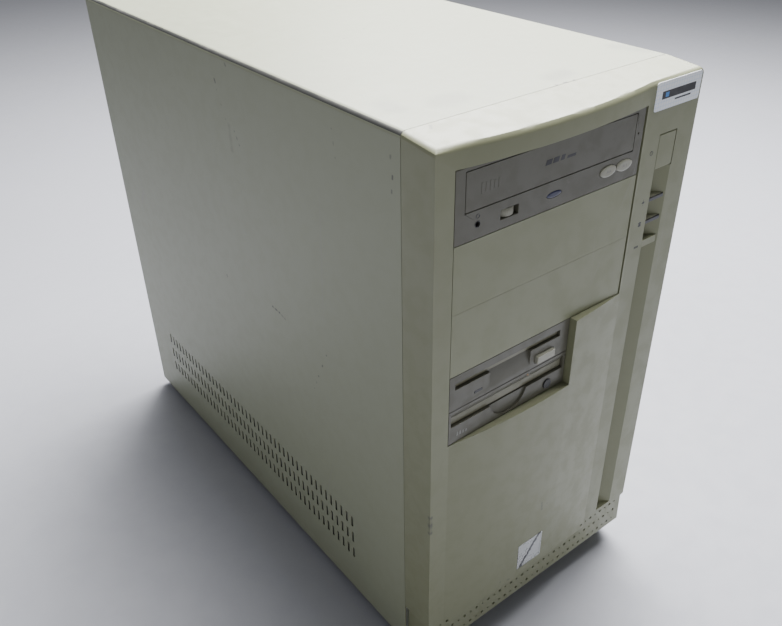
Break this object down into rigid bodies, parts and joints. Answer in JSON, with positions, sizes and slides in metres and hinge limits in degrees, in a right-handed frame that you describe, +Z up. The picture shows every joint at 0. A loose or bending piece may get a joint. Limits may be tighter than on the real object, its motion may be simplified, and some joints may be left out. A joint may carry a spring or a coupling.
{
  "type": "desktop computer tower",
  "caption": "Beige desktop computer tower: steel cover, crowned plastic bezel, CD, floppy and cartridge drives, and a fitted inside.",
  "frame": {"origin": "middle of the bounding box at the bottom of the feet", "axes": "+Z up, the front bezel faces -Y, +X to the right seen from the front"},
  "size_m": [0.214, 0.4612, 0.409],
  "materials": {
    "cover_paint": "satin powder coat",
    "bezel_plastic": "fine moulded texture",
    "drive_plastic": "fine moulded texture",
    "flap_plastic": "smooth",
    "black_plastic": "smooth",
    "lamp_lens": "clear polished",
    "badge_metal": "satin",
    "label_paper": "printed",
    "steel": "zinc plated",
    "bright_wire": "bright plated",
    "foot_rubber": "matte",
    "circuit_board": "solder mask",
    "port_metal": "bright",
    "heatsink_metal": "extruded",
    "lead_sleeve": "sleeve",
    "ribbon_grey": "ribbed",
    "selector_red": "glossy"
  },
  "bodies": {
    "chassis": {"front_bezel": "bezel_plastic", "bay_cover_upper": "bezel_plastic", "bay_cover_lower": "bezel_plastic", "optical_fascia": "drive_plastic", "floppy_fascia": "drive_plastic", "cartridge_fascia": "drive_plastic", "supply_fan_frame": "black_plastic", "processor_fan_frame": "black_plastic", "mains_inlet": "black_plastic", "power_lamp": "lamp_lens", "disk_lamp": "lamp_lens", "optical_lamp": "lamp_lens", "badge_plate": "badge_metal", "case_label": "label_paper", "base_pan": "steel", "front_plate": "steel", "rear_panel": "steel", "motherboard_tray": "steel", "top_brace": "steel", "drive_cage_wide": "steel", "drive_cage_slim": "steel", "optical_housing": "steel", "floppy_housing": "steel", "cartridge_housing": "steel", "hard_drive": "steel", "power_supply_case": "steel", "fan_guard": "bright_wire", "foot_1": "foot_rubber", "foot_2": "foot_rubber", "foot_3": "foot_rubber", "foot_4": "foot_rubber", "motherboard": "circuit_board", "memory_module_1": "circuit_board", "memory_module_2": "circuit_board", "graphics_card": "circuit_board", "sound_card": "circuit_board", "rear_ports": "port_metal", "processor_heatsink": "heatsink_metal", "power_lead": "lead_sleeve", "drive_ribbon": "ribbon_grey"},
    "cover": {"cover": "cover_paint", "cover_screw_1": "bright_wire", "cover_screw_2": "bright_wire", "cover_screw_3": "bright_wire", "cover_screw_4": "bright_wire"},
    "tray": {"disc_tray": "black_plastic", "tray_door": "drive_plastic"},
    "power_key": {"power_button": "bezel_plastic"},
    "reset_key": {"reset_button": "bezel_plastic"},
    "play_key": {"play_button": "drive_plastic"},
    "open_key": {"open_button": "drive_plastic"},
    "floppy_key": {"floppy_button": "drive_plastic"},
    "cartridge_key": {"cartridge_button": "black_plastic"},
    "wheel": {"volume_wheel": "flap_plastic"},
    "floppy_door": {"floppy_flap": "flap_plastic"},
    "cartridge_door": {"cartridge_flap": "flap_plastic"},
    "supply_rotor": {"supply_fan_rotor": "black_plastic"},
    "processor_rotor": {"processor_fan_rotor": "black_plastic"},
    "selector": {"voltage_selector": "selector_red"}
  },
  "joints": [
    {"name": "cover_slide", "type": "slide", "parent": "chassis", "child": "cover", "axis": [0, 1, 0], "range_m": [0, 0.44]},
    {"name": "tray_slide", "type": "slide", "parent": "chassis", "child": "tray", "axis": [0, -1, 0], "range_m": [0, 0.13]},
    {"name": "power_press", "type": "slide", "parent": "chassis", "child": "power_key", "axis": [0, 1, 0], "range_m": [0, 0.0025], "stiffness_N_per_m": 700, "springref_m": -0.0012},
    {"name": "reset_press", "type": "slide", "parent": "chassis", "child": "reset_key", "axis": [0, 1, 0], "range_m": [0, 0.002], "stiffness_N_per_m": 500, "springref_m": -0.0012},
    {"name": "play_press", "type": "slide", "parent": "chassis", "child": "play_key", "axis": [0, 1, 0], "range_m": [0, 0.0008], "stiffness_N_per_m": 500, "springref_m": -0.0012},
    {"name": "open_press", "type": "slide", "parent": "chassis", "child": "open_key", "axis": [0, 1, 0], "range_m": [0, 0.0008], "stiffness_N_per_m": 500, "springref_m": -0.0012},
    {"name": "floppy_press", "type": "slide", "parent": "chassis", "child": "floppy_key", "axis": [0, 1, 0], "range_m": [0, 0.002], "stiffness_N_per_m": 400, "springref_m": -0.0012},
    {"name": "cartridge_press", "type": "slide", "parent": "chassis", "child": "cartridge_key", "axis": [0, 1, 0], "range_m": [0, 0.0007], "stiffness_N_per_m": 500, "springref_m": -0.0012},
    {"name": "volume_turn", "type": "hinge", "parent": "chassis", "child": "wheel", "pos_m": [-0.054, -0.21855, 0.3593], "axis": [0, 0, 1], "range_deg": [-135, 135]},
    {"name": "floppy_door_swing", "type": "hinge", "parent": "chassis", "child": "floppy_door", "pos_m": [0, -0.22245, 0.2598], "axis": [1, 0, 0], "range_deg": [0, 90], "stiffness_Nm_per_rad": 0.0005, "springref_deg": -17.19},
    {"name": "cartridge_door_swing", "type": "hinge", "parent": "chassis", "child": "cartridge_door", "pos_m": [0, -0.22245, 0.2338], "axis": [1, 0, 0], "range_deg": [0, 90], "stiffness_Nm_per_rad": 0.0008, "springref_deg": -17.19},
    {"name": "supply_fan_spin", "type": "hinge", "parent": "chassis", "child": "supply_rotor", "pos_m": [-0.02, 0.2, 0.3605], "axis": [0, 1, 0], "continuous": true},
    {"name": "processor_fan_spin", "type": "hinge", "parent": "chassis", "child": "processor_rotor", "pos_m": [0.06, 0.11115, 0.2445], "axis": [1, 0, 0], "continuous": true},
    {"name": "selector_slide", "type": "slide", "parent": "chassis", "child": "selector", "axis": [1, 0, 0], "range_m": [0, 0.006]}
  ]
}
